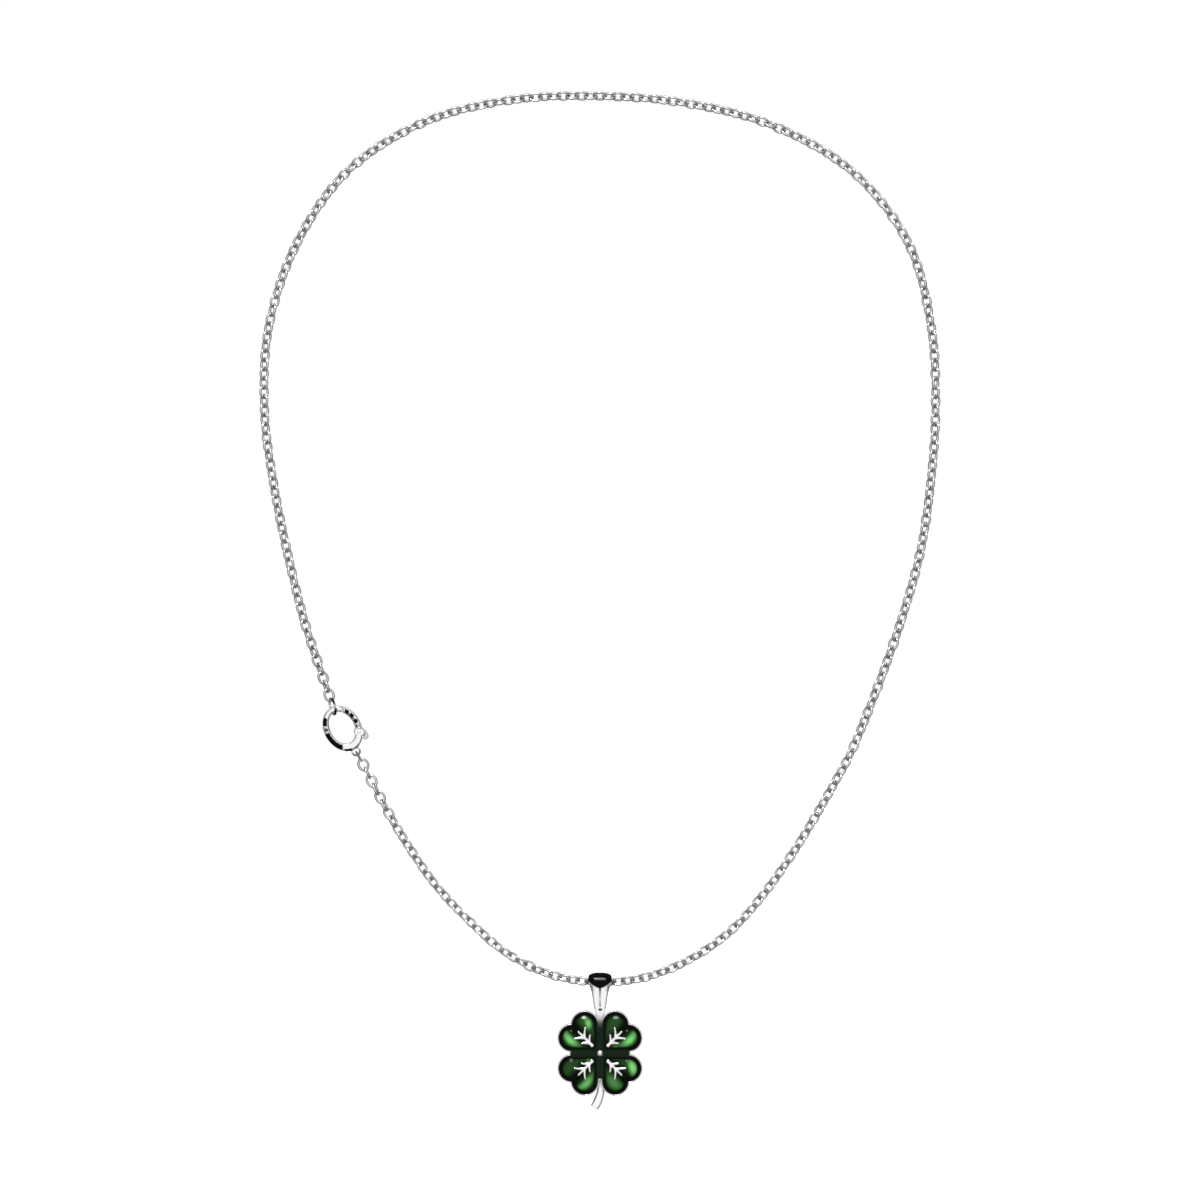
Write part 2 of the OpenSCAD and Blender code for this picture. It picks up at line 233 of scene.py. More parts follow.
def oval_at(a):
    return np.stack([oval_a * np.cos(a), oval_y + oval_b * np.sin(a)], -1)


def oval_outward(a):
    n = np.stack([oval_b * np.cos(a), oval_a * np.sin(a)], -1)
    return n / np.linalg.norm(n, axis=-1, keepdims=True)


def oval_band(start, stop, thick, blunt):
    """Stretch of the clasp's oval band between two angles."""
    a = np.linspace(start, stop, 2000)
    gone = run(oval_at(a))
    a = np.interp(paced(gone[-1], 0.07, blunt), gone, a)
    rise = np.sin(a)
    width = band_side + np.where(rise > 0, band_top - band_side, band_foot - band_side) * rise**2
    return soft_bar(oval_at(a), oval_outward(a), width, thick, 0, band_corner, blunt, across=22)


def band_spot(flat):
    """Angle on the oval of each drawn point, and how far it lies outside the middle line."""
    a = np.arctan2((flat[..., 1] - oval_y) / oval_b, flat[..., 0] / oval_a)
    return a, ((flat[..., :2] - oval_at(a)) * oval_outward(a)).sum(-1)


def pocket_mask(flat, pockets, long, shift):
    """The strength of each pocket across the band, 0 beside them, for points near the front."""
    a, off = band_spot(flat)
    mask = np.zeros(a.shape)
    for degrees, strength in pockets:
        at = math.radians(degrees)
        turn = (a - at + math.pi) % (2 * math.pi) - math.pi
        along = turn * math.hypot(oval_a * math.sin(at), oval_b * math.cos(at))
        one = strength * soft_step(long / 2 - np.abs(along), -0.05, 0.05)
        mask = np.maximum(mask, one * soft_step(pocket_wide / 2 - np.abs(off - shift), -0.05, 0.05))
    return mask * (flat[..., 2] > 0.25 * clasp_thick)


def band_shade(flat, patches):
    """Painted band shade in patches: from and to degrees, from and to off the middle line."""
    a, off = band_spot(flat)
    degrees = np.degrees(a) % 360
    mask = np.zeros(a.shape)
    for start, stop, inner, outer, strength in patches:
        patch = strength * between(degrees, start, stop, 3) * between(off, inner, outer, 0.06)
        mask = np.maximum(mask, patch)
    return mask * (flat[..., 2] > 0)


def spokes_round(sides):
    a = np.arange(sides) * 2 * math.pi / sides
    return np.stack([np.cos(a), np.sin(a)], 1)


def turned(centre, rows, sides):
    """Rings of a round body turned about its centre, through rows of radius and height."""
    spokes = spokes_round(sides)
    return np.stack([
        np.column_stack([np.array(centre) + r * spokes, np.full(sides, h)]) for r, h in rows
    ])


def disc(centre, radius, low, high, edge, dome=0):
    """Rings of a round disc with softened rims, whose two faces may rise to a low dome."""
    low, high = low + dome, high - dome
    inner = radius - edge
    rows = [(inner, low), (radius, low + edge), (radius, high - edge), (inner, high)]
    if dome:
        rise = [(share * inner, dome * (1 - share**2)) for share in (0.8, 0.55, 0.3, 0.1)]
        rows = [(r, low - h) for r, h in rise[::-1]] + rows + [(r, high + h) for r, h in rise]
    return turned(centre, rows, 64)


def eye(centre, outer, hole, thick):
    """Rings of a round eye with a hole through it and soft rims."""
    spokes = spokes_round(64)
    line = np.array(centre) + spokes * (outer + hole) / 2
    return soft_bar(line, spokes, outer - hole, thick, 0, 0.14, 1e-6)


def set_in_scene(name, data):
    made = bpy.data.objects.new(name, data)
    bpy.context.scene.collection.objects.link(made)
    return made


def skin_of(name, points, faces, edges=()):
    mesh = bpy.data.meshes.new(name)
    mesh.from_pydata(np.asarray(points).tolist(), edges, faces)
    return mesh


def turn_outwards(mesh):
    """Turns all faces of a mesh to its outside."""
    shell = bmesh.new()
    shell.from_mesh(mesh)
    bmesh.ops.recalc_face_normals(shell, faces=shell.faces)
    shell.to_mesh(mesh)
    shell.free()


def mark(mesh, **marks):
    """Stores numbers on a mesh's points, for its material or its node tree."""
    for attribute, values in marks.items():
        data = mesh.attributes.new(attribute, "FLOAT", "POINT").data
        data.foreach_set("value", np.asarray(values, np.float32))


def evaluated(made):
    """A plain mesh of an object as its modifiers leave it."""
    result = made.evaluated_get(bpy.context.evaluated_depsgraph_get())
    return bpy.data.meshes.new_from_object(result)


def cast(shells, voxel):
    """One casting of overlapping closed shells, its edges and joints softened."""
    made = set_in_scene("casting", skin_of("casting", *joined(shells)))
    skin = made.modifiers.new("skin", "REMESH")
    skin.mode, skin.voxel_size = "VOXEL", voxel
    polish = made.modifiers.new("polish", "SMOOTH")
    polish.factor, polish.iterations = 0.5, 3
    return made


def finished(made, cutters=()):
    """The casting with its holes or slots cut through, as points and faces."""
    spare = []
    for rings in cutters:
        cutter = set_in_scene("cutter", skin_of("cutter", *loft(rings)))
        turn_outwards(cutter.data)
        cut = made.modifiers.new("cut", "BOOLEAN")
        cut.operation, cut.solver, cut.object = "DIFFERENCE", "EXACT", cutter
        spare.append(cutter)
    mesh = evaluated(made)
    points = np.zeros(len(mesh.vertices) * 3)
    mesh.vertices.foreach_get("co", points)
    faces = [tuple(face.vertices) for face in mesh.polygons]
    for unused in [made, *spare]:
        bpy.data.objects.remove(unused)
    return points.reshape(-1, 3), faces


def piece(name, points, faces, material, sharp=35, **marks):
    """A finished piece: faces outwards, smooth but for its sharp edges, with its marks stored."""
    mesh = skin_of(name, points, faces)
    turn_outwards(mesh)
    mesh.shade_smooth()
    mesh.set_sharp_from_angle(angle=math.radians(sharp))
    mark(mesh, **marks)
    mesh.materials.append(material)
    return set_in_scene(name, mesh)


body_band = oval_band(hook_start, 2 * math.pi + pivot_angle, clasp_thick, body_blunt)
body_band[..., 2] -= pocket_deep * pocket_mask(
    body_band, body_pockets, body_pocket_long, pocket_shift
)
body_casting = cast([
    loft(body_band),
    loft(disc(pivot, cheek_r, -clasp_thick / 2, clasp_thick / 2, cheek_edge, cheek_dome)),
    loft(eye((0, lug_y), lug_r, lug_hole_r, lug_thick), closed=True),
], clasp_voxel)
body_points, body_faces = finished(body_casting, [
    disc(pivot, slot_r, -slot_half, slot_half, bore_edge),
    disc(pivot, body_bore_r, -clasp_thick, clasp_thick, bore_edge),
])
clasp_silver = silver("clasp_silver", (0.93, 0.925, 0.915, 1), (0.84, 0.835, 0.825, 1), 6e-6)
# Painted shade: dark patches over the band and round its pockets, under the lug and over the cheek.
body_shade_patches = [
    (127, 153, -0.25, 0.55, 1), (153, 171, -0.2, 0.5, 0.6), (171, 234, -0.28, 0.66, 1),
    (171, 236, -0.52, -0.28, 0.35), (48, 64, 0.15, 0.6, 0.5), (238, 264, 0.32, 0.95, 1),
    (264, 294, 0.45, 0.95, 0.85), (88, 112, -0.65, -0.2, 0.7),
]
lug_shade = 0.8 * (np.hypot(body_points[:, 0], body_points[:, 1] - lug_y) < lug_r + 0.05)
lug_shade *= soft_step(-body_points[:, 1], 4.9, 5.5)
cheek_x, cheek_y = (body_points[:, :2] - pivot).T
cheek_up = cheek_y * math.cos(pivot_angle) - cheek_x * math.sin(pivot_angle)
cheek_shade = 0.6 * soft_step(cheek_up, 0.42, 0.72) * (np.hypot(cheek_x, cheek_y) < cheek_r)
cheek_shade *= body_points[:, 2] > slot_half
body_patina = np.maximum.reduce([
    pocket_mask(body_points, body_pockets, body_pocket_long, pocket_shift),
    band_shade(body_points, body_shade_patches), lug_shade, cheek_shade,
])
body = piece("clasp_oval", in_clasp(body_points), body_faces, clasp_silver, patina=body_patina)
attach(body, "necklace")
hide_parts("clasp_body")

# Clasp lever. The sprung gate that closes the oval, cast with a thin round tongue that turns
# in the fork, and a thumb tab outside. Three blackened pockets lie across it.
lever_pockets = [(-2, 1), (18, 1), (37, 1)]
lever_pocket_long = 0.85
lever_start, lever_tip = math.radians(-16.5), math.radians(49.9)
tongue_r, tongue_half, lever_bore_r, lever_blunt = 1.0, 0.3, 0.34, 0.2
tab_angle = math.radians(-62)
tab_from, tab_thick = 1.2, 1.2
tab_rows = [
    (-4, 1.32), (-16, 1.36), (-28, 1.5), (-40, 1.78), (-50, 2.04), (-60, 2.15), (-70, 2.14),
    (-80, 2.0), (-88, 1.76), (-93, 1.5),
]


def straight_bar(start, stop, angle, width, thick, blunt):
    """Rings of a soft-edged bar that points away from the pivot."""
    way = np.array([math.cos(angle), math.sin(angle)])
    gone = paced(stop - start, 0.1, blunt)
    line = np.array(pivot) + (start + gone)[:, None] * way
    side = np.broadcast_to([-way[1], way[0]], line.shape)
    return soft_bar(line, side, width, thick, 0, blunt, blunt)


def thumb_tab():
    """Rings of the tab: a pad round the fork's cheek that swells to where the thumb presses."""
    degrees = np.linspace(tab_rows[0][0], tab_rows[-1][0], 48)
    turn, reach = np.array(tab_rows[::-1]).T
    reach = np.interp(degrees, turn, reach)
    spokes = np.stack([np.cos(np.radians(degrees)), np.sin(np.radians(degrees))], 1)
    line = np.array(pivot) + spokes * (tab_from + reach)[:, None] / 2
    return soft_bar(line, spokes, reach - tab_from, tab_thick, 0, 0.26, 0.05, across=8)


lever_band = oval_band(lever_start, lever_tip, clasp_thick, lever_blunt)
lever_band[..., 2] -= pocket_deep * pocket_mask(
    lever_band, lever_pockets, lever_pocket_long, -pocket_shift
)
lever_casting = cast([
    loft(lever_band),
    loft(oval_band(pivot_angle, lever_start + 0.12, 2 * tongue_half, 0.05)),
    loft(disc(pivot, tongue_r, -tongue_half, tongue_half, 0.06)),
    loft(straight_bar(0.5, 1.5, tab_angle, tongue_r, 2 * tongue_half, 0.08)),
    loft(thumb_tab()),
], clasp_voxel)
lever_points, lever_faces = finished(
    lever_casting, [disc(pivot, lever_bore_r, -clasp_thick, clasp_thick, bore_edge)]
)
# Painted shade: dark patches between the lever's pockets and at its ends, and grey over the tab.
lever_shade_patches = [
    (-2, 40, -0.55, 0.05, 0.85), (338, 353, 0.05, 0.8, 0.42), (338, 350, -0.5, -0.1, 0.9),
    (43, 52, -0.1, 0.7, 0.3),
]
tab_reach = np.linalg.norm(lever_points[:, :2] - pivot, axis=1)
tab_shade = 0.42 * soft_step(tab_reach, 1.15, 1.3) * (lever_points[:, 1] < pivot[1] + 0.6)
lever_patina = np.maximum.reduce([
    pocket_mask(lever_points, lever_pockets, lever_pocket_long, -pocket_shift),
    band_shade(lever_points, lever_shade_patches),
    tab_shade * (1 + 0.5 * soft_step(tab_reach, 1.85, 2.1)),
])
lever = piece("clasp_gate", in_clasp(lever_points), lever_faces, clasp_silver, patina=lever_patina)
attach(lever, "lever")
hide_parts("clasp_lever")

# Pivot pin. A round silver pin through the fork and the tongue, hammered to a low dome at
# both ends and polished down to the cheeks.
pin_r, pin_dome = 0.3, 0.05
pin_rows = [
    (pin_r * math.cos(t), side * (clasp_thick / 2 + pin_dome * math.sin(t)))
    for side, turns in ((-1, np.linspace(1.45, 0, 6)), (1, np.linspace(0, 1.45, 6)))
    for t in turns
]
pin_points, pin_faces = loft(turned(pivot, pin_rows, 40))
pin_silver = silver("pin_silver", (0.9, 0.9, 0.9, 1), (0.8, 0.8, 0.8, 1), 3e-6)
pin = piece("pivot_pin", in_clasp(pin_points), pin_faces, pin_silver)
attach(pin, "necklace")
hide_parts("clasp_pin")

# Rings. Two rings of drawn silver wire, each closed with a small bead of solder. The larger
# one hangs in the hook, the smaller one joins the lug to the chain.
wire_r, wire_sides, ring_steps = 0.22, 14, 72
jump_r, end_r = 1.15, 1.65
end_foot, end_lean, end_turn = 3.27, math.radians(16), math.radians(20)
ring_silver = silver("ring_silver", (0.92, 0.915, 0.91, 1), (0.8, 0.795, 0.79, 1), 4e-6)


def wire_ring(foot, mid_r, lean, turn):
    """Rings of a closed wire ring that stands on foot, and the far end of its wire."""
    up = np.array([math.sin(lean), math.cos(lean), 0])
    right = np.array([math.cos(lean), -math.sin(lean), 0])
    front = np.array([0, 0, math.cos(turn)]) + right * math.sin(turn)
    axis = np.cross(up, front)
    centre = np.array([0, foot, 0]) + up * mid_r
    a = np.arange(ring_steps) * 2 * math.pi / ring_steps
    out = np.cos(a)[:, None] * up + np.sin(a)[:, None] * front
    around = np.arange(wire_sides) * 2 * math.pi / wire_sides
    solder = 1 + 0.13 * np.exp(-(((a - 2.2) / 0.12) ** 2))
    r = wire_r * solder[:, None, None]
    rings = centre + out[:, None] * (mid_r + r * np.cos(around)[None, :, None])
    return rings + axis * (r * np.sin(around)[None, :, None]), centre + up * mid_r


end_rings, end_top = wire_ring(end_foot, end_r, end_lean, end_turn)
jump_rings, _ = wire_ring(lug_y - 2 * jump_r, jump_r, 0, 0)
wire_turns = np.degrees(np.arange(ring_steps) * 2 * math.pi / ring_steps).repeat(wire_sides)
# Painted shade over part of each ring's front wire; the hook ring keeps a bright gap, a painted
# glint.
end_patina = soft_step(wire_turns, 14, 30) * (1 - soft_step(wire_turns, 185, 215))
end_patina *= 1 - 0.9 * np.exp(-(((wire_turns - 92) / 10) ** 2))
jump_patina = 0.85 * soft_step(wire_turns, 20, 50) * (1 - soft_step(wire_turns, 110, 150))
for name, rings, patina, node in (
    ("hook_ring", end_rings, end_patina, "end_ring"),
    ("lug_ring", jump_rings, jump_patina, "jump_ring"),
):
    points, faces = loft(rings, closed=True)
    ring = piece(name, in_clasp(points), faces, ring_silver, patina=patina)
    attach(ring, "necklace")
    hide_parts(node)

# Chain. A cable chain of small round links, each bent from drawn silver wire and soldered.
# Every link stands across the next one and hangs in it, and the end links hang in the rings.
chain_route = [
    (-47.5, -133.6), (-42.5, -143), (-38, -150.5), (-32.7, -158), (-26, -165.1), (-18.5, -171.5),
    (-9.5, -175.8), (0, -177.2), (9.5, -176.1), (18.6, -172.3), (26.5, -166.6), (33.1, -159.1),
    (38.3, -151.8), (43, -144.2), (47, -137.2), (50.6, -130.4), (55.9, -117.2), (60.4, -104.4),
    (64, -91.5), (66.1, -77.8), (67.1, -63), (66.3, -46.5), (61.7, -29.5), (50.7, -15.3),
    (35, -6.1), (17.7, -1.5), (0, 0), (-18, -0.8), (-35.4, -5.3), (-50.7, -15.2), (-60.9, -30),
    (-66.3, -46.5), (-67.1, -63), (-65.2, -78), (-62.5, -91.4), (-59.4, -104.1), (-56.7, -112.5),
    (-54.2, -119.9),
]
link_long, link_wide, link_wire, link_pitch = 2.42, 1.84, 0.28, 1.83
link_stand, link_play = 45, 14
twist_run = 22
hook_in = wire_r + link_wire


def smooth_line(route, fineness):
    """A Catmull-Rom line through all the points of a route."""
    p = np.array([2 * route[0] - route[1], *route, 2 * route[-1] - route[-2]])
    t = np.arange(fineness)[:, None] / fineness
    spans = [
        0.5 * (
            2 * b + (c - a) * t + (2 * a - 5 * b + 4 * c - d) * t**2
            + (3 * b - a - 3 * c + d) * t**3
        )
        for a, b, c, d in zip(p, p[1:], p[2:], p[3:])
    ]
    return np.concatenate([*spans, p[-2:-1]])


def paced_line(line, gone):
    """Points of a line at these distances along it."""
    return np.stack([np.interp(gone, run(line), axis) for axis in line.T], 1)


route = np.array(chain_route, float)
end_down = np.array([math.sin(end_lean), math.cos(end_lean), 0]) * hook_in
route[0] = in_clasp([[0, lug_y - 2 * jump_r + hook_in, 0]])[0, [0, 2]] / mm
route[-1] = in_clasp([end_top - end_down])[0, [0, 2]] / mm
chain_line = smooth_line(route, 24)
chain_length = steps(chain_line).sum()
links = round((chain_length - link_long) / link_pitch) + 1
gone = np.linspace(link_long / 2, chain_length - link_long / 2, links)
middles = paced_line(chain_line, gone)
last_stand = 70 if links % 2 == 0 else -20
start_free = soft_step(gone, 0, twist_run)
end_free = soft_step(chain_length - gone, 0, twist_run)
stand = link_stand * start_free + (last_stand - link_stand) * (1 - end_free)

chain_path = skin_of(
    "chain_path", [(x * mm, 0, z * mm) for x, z in middles], [],
    edges=[(i, i + 1) for i in range(links - 1)],
)
mark(chain_path, stand=np.radians(stand), free=start_free * end_free)

chain_metal = Finish("chain_silver", {"Metallic": 1.0})
link_tone, link_shade = chain_metal.attribute("tone"), chain_metal.attribute("shade")
chain_wear = chain_metal.grain(3200, 3)
bright_link = link_tone.mix((0.79, 0.785, 0.78, 1), (0.65, 0.645, 0.64, 1))
chain_silver = chain_metal.feed({
    "Base Color": link_shade.ramp(0.1, 0.9).mix(bright_link, (0.5, 0.495, 0.5, 1)),
    "Roughness": chain_wear.ramp(0.3, 0.8) * 0.12 + link_tone * 0.08 + 0.1,
    "Normal": chain_metal.bump(chain_wear, 4e-6),
})

tree = bpy.data.node_groups.new("cable_chain", "GeometryNodeTree")
tree.interface.new_socket(name="Path", in_out="INPUT", socket_type="NodeSocketGeometry")
chain_sizes = {
    "Link Length": link_long * mm, "Link Width": link_wide * mm, "Wire Radius": link_wire * mm,
    "Play": math.radians(link_play), "Seed": 7,
}
socket_names = {"Path": "Geometry"}
for size in chain_sizes:
    kind = "NodeSocketInt" if size == "Seed" else "NodeSocketFloat"
    made = tree.interface.new_socket(name=size, in_out="INPUT", socket_type=kind)
    socket_names[size] = made.identifier
tree.interface.new_socket(name="Chain", in_out="OUTPUT", socket_type="NodeSocketGeometry")
given = tree.nodes.new("NodeGroupInput")
size = {name: Tone(tree, given.outputs[name]) for name in ["Path", *chain_sizes]}
step = size["Path"].node
half = step("ShaderNodeCombineXYZ", {}, {
    "X": size["Link Length"] * 0.5, "Y": size["Link Width"] * 0.5, "Z": 1.0,
})
bend = step("GeometryNodeTransform", {}, {
    "Geometry": step("GeometryNodeCurvePrimitiveCircle", {}, {"Resolution": 16, "Radius": 1.0}),
    "Scale": half,
})
wire = step("GeometryNodeCurvePrimitiveCircle", {}, {
    "Resolution": 6, "Radius": size["Wire Radius"],
})
spot = step("GeometryNodeInputPosition", {}, {})
inward = step("ShaderNodeVectorMath", {"operation": "DOT_PRODUCT"}, {
    0: step("ShaderNodeVectorMath", {"operation": "NORMALIZE"}, {0: spot}),
    1: step("GeometryNodeInputNormal", {}, {}),
}, "Value") * -1
at_end = step("ShaderNodeMath", {"operation": "ABSOLUTE"}, {
    0: step("ShaderNodeSeparateXYZ", {}, {0: spot}, "X"),
})
share = step("ShaderNodeMath", {"operation": "DIVIDE"}, {0: at_end, 1: size["Link Length"] * 0.5})
link = step("GeometryNodeStoreNamedAttribute", {"data_type": "FLOAT", "domain": "POINT"}, {
    "Geometry": step("GeometryNodeCurveToMesh", {}, {"Curve": bend, "Profile Curve": wire}),
    "Name": "shade",
    "Value": inward.ramp(-0.5, 0.7) * (share.ramp(0.3, 0.85) * 0.7 + 0.3),
})
index = step("GeometryNodeInputIndex", {}, {})
across = step("ShaderNodeMath", {"operation": "MODULO"}, {0: index, 1: 2.0}) * (math.pi / 2)
free = step("GeometryNodeInputNamedAttribute", {}, {"Name": "free"})
sway = step("ShaderNodeTexNoise", {"noise_dimensions": "1D"}, {
    "W": index * 0.23 + size["Seed"], "Scale": 1.0, "Detail": 2.0,
}, "Fac")
turn = (
    step("GeometryNodeInputNamedAttribute", {}, {"Name": "stand"})
    + across
    + (sway - 0.5) * 4 * size["Play"] * free
)
ahead = step("FunctionNodeAlignRotationToVector", {"axis": "X"}, {
    "Vector": step("GeometryNodeInputTangent", {}, {}),
})
level = step("FunctionNodeAlignRotationToVector", {"axis": "Z", "pivot_axis": "X"}, {
    "Rotation": ahead, "Vector": (0.0, -1.0, 0.0),
})
twisted = step("FunctionNodeRotateRotation", {"rotation_space": "LOCAL"}, {
    "Rotation": level,
    "Rotate By": step("FunctionNodeAxisAngleToRotation", {}, {"Axis": (1, 0, 0), "Angle": turn}),
})
row = step("GeometryNodeInstanceOnPoints", {}, {
    "Points": step("GeometryNodeMeshToCurve", {}, {"Mesh": size["Path"]}),
    "Instance": link, "Rotation": twisted,
})
toned = step("GeometryNodeStoreNamedAttribute", {"data_type": "FLOAT", "domain": "INSTANCE"}, {
    "Geometry": row, "Name": "tone",
    "Value": step("FunctionNodeRandomValue", {"data_type": "FLOAT"}, {"Seed": size["Seed"]}, 1),
})
real = step("GeometryNodeRealizeInstances", {}, {"Geometry": toned})
chained = step("GeometryNodeSetMaterial", {}, {"Geometry": real, "Material": chain_silver})
result = tree.nodes.new("NodeGroupOutput")
tree.links.new(chained.socket, result.inputs[0])

chain = set_in_scene("cable_chain", chain_path)
maker = chain.modifiers.new("links", "NODES")
maker.node_group = tree
for name, value in chain_sizes.items():
    maker[socket_names[name]] = value
link_mesh = evaluated(chain)
chain.modifiers.remove(maker)
turn_outwards(link_mesh)
link_mesh.shade_smooth()
chain.data = link_mesh
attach(chain, "necklace")
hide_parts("chain")

# Clover cup. The silver casting that holds the enamel: a back plate in the shape of four
# heart leaves, with a thin wall round it that shows as the bright outer rim.
clover_z = -191.4
lobe_r, lobe_u, lobe_v = 2.76, 6.14, 1.84
leaf_half_angle = math.asin(lobe_r / math.hypot(lobe_u, lobe_v)) + math.atan2(lobe_v, lobe_u)
floor_h, wall_h, back_h = -0.1, 0.8, -1.2
silver_out, silver_in = 0.14, -0.16
web_silver, web_cell = np.array([6.1, 5.5]), np.array([5.85, 5.1])
full_turn = math.pi / 2 + leaf_half_angle
lip_r = (silver_out - silver_in) / 2
cup_rows = [
    (-0.5, back_h), (-0.22, back_h), (-0.06, back_h), (0.04, back_h + 0.03), (0.11, back_h + 0.1),
    (0.14, back_h + 0.2), (0.14, back_h + 0.3),
    *[(silver_in + lip_r + lip_r * math.cos(a), wall_h - lip_r + lip_r * math.sin(a))
      for a in np.radians(np.arange(0, 181, 22.5))],
    (silver_in, floor_h),
]


def in_pendant(flat):
    """Drawn points, x to the right, y up and h to the front, stood up in the clover's place."""
    x, y, h = np.asarray(flat, float).T
    return np.stack([x, -h, clover_z + y], 1) * mm


def on_leaf(flat, k):
    """Points drawn along a leaf, turned to it: upper right, upper left, lower left, lower right."""
    angle = math.radians(45 + 90 * k)
    c, s = math.cos(angle), math.sin(angle)
    return np.concatenate([flat[:, :2] @ np.array([[c, s], [-s, c]]), flat[:, 2:]], 1)


def leaf_lobes(grown, turns=(full_turn, full_turn)):
    """Outline of a leaf's two lobes in the leaf's own axes, begun and ended at these turns."""
    r = lobe_r + grown
    sides = []
    for turn in turns:
        a = np.linspace(-turn, math.asin(lobe_v / r), 34)
        sides.append(np.stack([lobe_u + r * np.cos(a), r * np.sin(a) - lobe_v], 1))
    return np.concatenate([sides[0], sides[1][-2::-1] * (1, -1)])


def leaf_outline(grown):
    return np.concatenate([[(-grown / math.sin(leaf_half_angle), 0)], leaf_lobes(grown)])


def web_end(grown, reach):
    """Where a lobe's outline meets the web beside it: its turn, and the web's corner."""
    r = lobe_r + grown
    lobe_x, lobe_y = (lobe_u + lobe_v) / math.sqrt(2), (lobe_u - lobe_v) / math.sqrt(2)
    rise = math.acos(np.clip((reach - lobe_x) / r, -1, 1))
    if math.pi / 4 + rise < full_turn:
        half = (lobe_y - r * math.sin(rise)) / 2
        corner = np.array([reach - half, reach + half]) / math.sqrt(2)
        return math.pi / 4 + rise, corner
    tilt = math.pi / 4 - leaf_half_angle
    far = (reach - grown * math.sin(tilt)) / math.cos(tilt)
    c, s = math.cos(leaf_half_angle), math.sin(leaf_half_angle)
    return full_turn, np.array([far * c - grown * s, far * s + grown * c])


def clover_outline(grown, reach):
    """Outline of all four leaves, joined by webs that reach so far across, and up and down."""
    ends = [web_end(grown, one) for one in reach]
    leaves = []
    for k in range(4):
        (first, low), (last, high) = ends[k % 2], ends[(k + 1) % 2]
        leaf = np.concatenate([[low * (1, -1)], leaf_lobes(grown, (first, last)), [high]])
        leaves.append(on_leaf(leaf, k))
    return np.concatenate(leaves)


def cup_ring(grown, h):
    share = (grown - silver_in) / (silver_out - silver_in)
    flat = clover_outline(grown, web_cell + share * (web_silver - web_cell))
    return np.column_stack([flat, np.full(len(flat), h)])


cup_points, cup_faces = loft(np.stack([cup_ring(*row) for row in cup_rows]))
cast_silver = silver("cast_silver", (0.97, 0.965, 0.955, 1), (0.91, 0.905, 0.895, 1), 6e-6)
x, y, h = cup_points.T
# Painted shade: the top of the rim is grey all round, darker on the webs above and below the
# clover.
above = np.interp(y, [-6.8, -5.9, -5, -4.6, 4.6, 4.9, 6.2, 7.4], [0, 0.4, 0.8, 0, 0, 1, 0.9, 0.2])
rim_shade = np.maximum(0.38, above * (np.abs(x) < 0.75)) * soft_step(h, 0.1, wall_h - 0.3)
cup = piece("clover_cup", in_pendant(cup_points), cup_faces, cast_silver, patina=rim_shade)
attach(cup, "pendant")
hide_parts("clover_frame")

# Veins and bead. Raised silver veins on every leaf, a middle one with two pairs of side
# veins, and the round bead in the clover's centre. They are cast with the cup.
vein_h, vein_root, vein_bend, vein_voxel = 1.45, -0.3, 0.1, 0.06
vein_rows = [
    (1.9, 0, 6.3, 0, 0.9, 0.5), (2.9, 0, 4.1, 1.35, 0.7, 0.45), (2.9, 0, 4.1, -1.35, 0.7, 0.45),
    (4.3, 0, 5.8, 1.7, 0.7, 0.45), (4.3, 0, 5.8, -1.7, 0.7, 0.45),
]
bead_r, bead_h, bead_sides = 0.74, 1.45, 48


def vein(from_u, from_v, to_u, to_v, wide, narrow):
    """Rings of one vein, thicker at its root, and bent a little forwards if it is a side vein."""
    start, way = np.array([from_u, from_v]), np.array([to_u - from_u, to_v - from_v])
    length = np.linalg.norm(way)
    way = way / length
    gone = paced(length, 0.12, 0.16)
    side = np.broadcast_to([-way[1], way[0]], (len(gone), 2))
    bend = -vein_bend * np.sign(to_v) * np.sin(math.pi * gone / length)
    line = start + gone[:, None] * way + bend[:, None] * side
    width = wide + (narrow - wide) * gone / length
    return soft_bar(line, side, width, vein_h - vein_root, (vein_h + vein_root) / 2, 0.32, 0.2)


leaf_veins = joined([loft(vein(*row)) for row in vein_rows])
vein_points, vein_faces = finished(cast(
    [(on_leaf(leaf_veins[0], k), leaf_veins[1]) for k in range(4)], vein_voxel
))
bead_rows = [(bead_r, floor_h - 0.2), (bead_r, bead_h - bead_r)] + [
    (bead_r * math.cos(a), bead_h - bead_r + bead_r * math.sin(a))
    for a in np.radians(np.arange(7.5, 90, 7.5))
]
bead_points, bead_faces = loft(turned((0, 0), bead_rows, bead_sides))
veins = piece("leaf_veins", in_pendant(vein_points), vein_faces, cast_silver)
bead = piece("centre_bead", in_pendant(bead_points), bead_faces, cast_silver)
for part in (veins, bead):
    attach(part, "pendant")
    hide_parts("clover_frame")

# Black enamel. Glossy black enamel that fills the cup round the four leaves and over the
# middle cross, fired a little below the silver rim and drawn down at its edges.
border_wide, set_gap = 0.76, 0.025
border_low, border_high, fused = 0.73, 0.76, 0.02


def finer(loop, step):
    """A closed loop with points put in so that none are farther apart than step."""
    ends = np.roll(loop, -1, 0)
    rows = []
    for a, b in zip(loop, ends):
        count = max(1, math.ceil(np.linalg.norm(b - a) / step))
        rows += [a + (b - a) * i / count for i in range(count)]
    return np.array(rows)


def inside(points, loop):
    (ax, ay), (bx, by) = loop.T[:, :, None], np.roll(loop, -1, 0).T[:, :, None]
    x, y = points.T
    level = (ay > y) != (by > y)
    return (level & (x < ax + (y - ay) * (bx - ax) / (by - ay + 1e-12))).sum(0) % 2 == 1


def in_pool(points, loops):
    """Which points lie inside the first loop and outside all the others."""
    keep = inside(points, loops[0])
    for loop in loops[1:]:
        keep &= ~inside(points, loop)
    return keep


